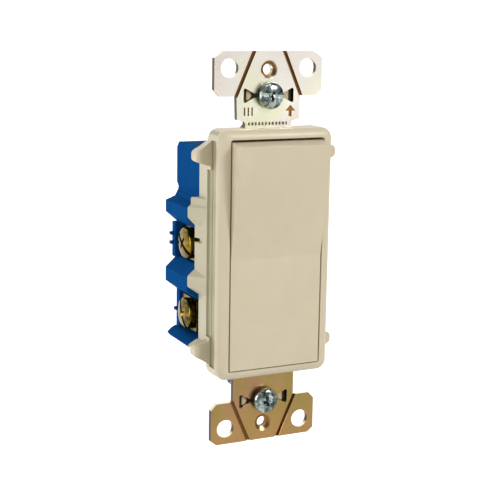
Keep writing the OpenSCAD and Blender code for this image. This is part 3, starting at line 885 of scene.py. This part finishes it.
def make_clamp(which):
    node = which + "_clamp_plate"
    low, high = span(node)
    screw_low, screw_high = span(which + "_terminal_screw")
    y = (screw_low[1] + screw_high[1]) / 2
    z = (low[2] + high[2]) / 2
    corners = [(low[1], low[2]), (high[1], low[2]), (high[1], high[2]), (low[1], high[2])]
    outline = smooth_line(corners, 0.9, 4)
    plate = prism(node + "_piece", "yz", outline, low[0], high[0])
    bore = lathe("bore", [(low[0] - 1, 1.8), (high[0] + 1, 1.8)], 0, (0, y, z), 40)
    # half-round grooves that the wires lie in, and fine serrations across them
    wire_r = 0.95
    wire_z = 3.1
    grooves = [lathe("groove", [(low[1] - 1, wire_r), (high[1] + 1, wire_r)], 1,
                     (high[0] + 0.55, 0, z + s * wire_z), 24) for s in (-1, 1)]
    cut(plate, bore, *grooves)
    teeth = [box("tooth", (high[0] - 0.18, high[0] + 1), (ty, ty + 0.25), (low[2] - 1, high[2] + 1))
             for ty in (low[1] + 1.2, low[1] + 2.2, high[1] - 2.4, high[1] - 1.4)]
    cut(plate, *teeth)
    rounded_edges(cleaned(plate), 0.14, segments=2)
    return finished(plate, which + "_clamp", "brass", BRASS, node)


# ---- nodes that keep their CAD shape ----------------------------------------------------


def finish_node(node, material, width):
    """Keeps a CAD node and gives it rounded edges and a finish."""
    obj = frame["nodes"][node]
    flat = obj.modifiers.new("flat", "DECIMATE")
    flat.decimate_type = "DISSOLVE"
    flat.angle_limit = math.radians(0.6)
    rounded_edges(obj, width, segments=2, limit=30)
    for slot in obj.material_slots:
        slot.material = material
    return obj


def smooth_node(node, material):
    """Keeps a CAD node whose surface is already fine, smooth shaded."""
    obj = frame["nodes"][node]
    for poly in obj.data.polygons:
        poly.use_smooth = True
    for slot in obj.material_slots:
        slot.material = material
    return obj


make_cover()
make_rocker()
make_strap()
make_body()
make_mounting_screw("upper", 8)
make_mounting_screw("lower", -6)
make_terminal_screw("upper", 35)
make_terminal_screw("lower", 62)
make_clamp("upper")
make_clamp("lower")
for side in ("upper", "lower"):
    finish_node(side + "_terminal_bracket", BRASS, 0.1)
    make_retainer(side)
finish_node("contact_arm", SPRING_BRASS, 0.06)
finish_node("moving_contact", SILVER, 0.15)
finish_node("fixed_contact", SILVER, 0.15)
finish_node("cradle", ACETAL, 0.15)
finish_node("cradle_bumpers", RUBBER, 0.15)
finish_node("ground_clip", YELLOW, 0.12)
finish_node("ground_screw", GREEN, 0.12)
finish_node("assembly_screws", ZINC, 0.08)
smooth_node("rocker_spring", STEEL)

# ---- stage, light and camera ------------------------------------------------------------

FLOOR_Z = -95


def backdrop():
    """A pale floor that curves up into a wall behind the object."""
    reach, depth, radius, height = 1500, 700, 350, 1500
    curve = [(-reach, FLOOR_Z), (depth - radius, FLOOR_Z)]
    curve += arc(depth - radius, FLOOR_Z + radius, radius, -80, 0, 8)
    curve.append((depth, height))
    bm = bmesh.new()
    left = [bm.verts.new((-reach, y, z)) for y, z in curve]
    right = [bm.verts.new((reach, y, z)) for y, z in curve]
    for i in range(len(curve) - 1):
        bm.faces.new((left[i], right[i], right[i + 1], left[i + 1]))
    sheet = new_object("backdrop", bm)
    for poly in sheet.data.polygons:
        poly.use_smooth = True
    f = Finish("backdrop", roughness=0.9)
    paper = f.ramp(f.noise(120, detail=2), (0.3, (0.90, 0.90, 0.90)), (0.7, (0.93, 0.93, 0.93)))
    depth_y = f.along(f.place, "Y")
    glow_from, glow_full = -60 * MM, 90 * MM
    f.colour(f.mixed(f.ranged(depth_y, 0, 1, glow_from, glow_full), (0.70, 0.70, 0.69), paper))
    # the paper behind the object glows by its own emission, a painted light with no lamp behind it, while
    # the paper in front is a darker grey, so that it reads as plain white
    f.link(paper, f.shader.inputs["Emission Color"])
    f.link(f.ranged(depth_y, 0, 0.62, glow_from, glow_full), f.shader.inputs["Emission Strength"])
    sheet.data.materials.append(f.material)


def area_light(name, place, target, width, height, power):
    lamp = bpy.data.lights.new(name, "AREA")
    lamp.shape = "RECTANGLE"
    lamp.size = width * MM
    lamp.size_y = height * MM
    lamp.energy = power
    obj = bpy.data.objects.new(name, lamp)
    obj.location = Vector(place) * MM
    aim = Vector(target) - Vector(place)
    obj.rotation_euler = aim.to_track_quat("-Z", "Y").to_euler()
    bpy.context.scene.collection.objects.link(obj)


def lights():
    world = bpy.data.worlds.new("world")
    bpy.context.scene.world = world
    world.use_nodes = True
    world.node_tree.nodes["Background"].inputs["Color"].default_value = (1, 1, 1, 1)
    world.node_tree.nodes["Background"].inputs["Strength"].default_value = 0.19
    area_light("key", (430, -700, 480), (0, 0, 0), 180, 180, 4.85)
    area_light("front_card", (390, -640, -20), (0, 0, 30), 300, 160, 0.14)
    area_light("side_fill", (-700, -200, 140), (0, 0, 0), 420, 420, 2.2)
    area_light("top", (0, -300, 660), (0, 0, 0), 400, 300, 0.7)


def camera():
    """The view: turned to the object's left, looking a little down, with a slight roll."""
    yaw, pitch, roll = (math.radians(a) for a in (25.70, 11.35, 0.915))
    place = Vector((-142.18, -285.53, 64.19)) * MM
    ahead = Vector((math.sin(yaw) * math.cos(pitch), math.cos(yaw) * math.cos(pitch), -math.sin(pitch)))
    level = Vector((math.cos(yaw), -math.sin(yaw), 0))
    above = level.cross(ahead)
    right = level * math.cos(roll) + above * math.sin(roll)
    up = above * math.cos(roll) - level * math.sin(roll)
    data = bpy.data.cameras.new("camera")
    data.sensor_width = 36
    data.lens = 86.95
    data.clip_start = 0.01
    obj = bpy.data.objects.new("camera", data)
    turn = Matrix((right, up, -ahead)).transposed().to_4x4()
    obj.matrix_world = Matrix.Translation(place) @ turn
    bpy.context.scene.collection.objects.link(obj)
    bpy.context.scene.camera = obj


backdrop()
lights()
camera()
bpy.context.scene.view_settings.view_transform = "Standard"
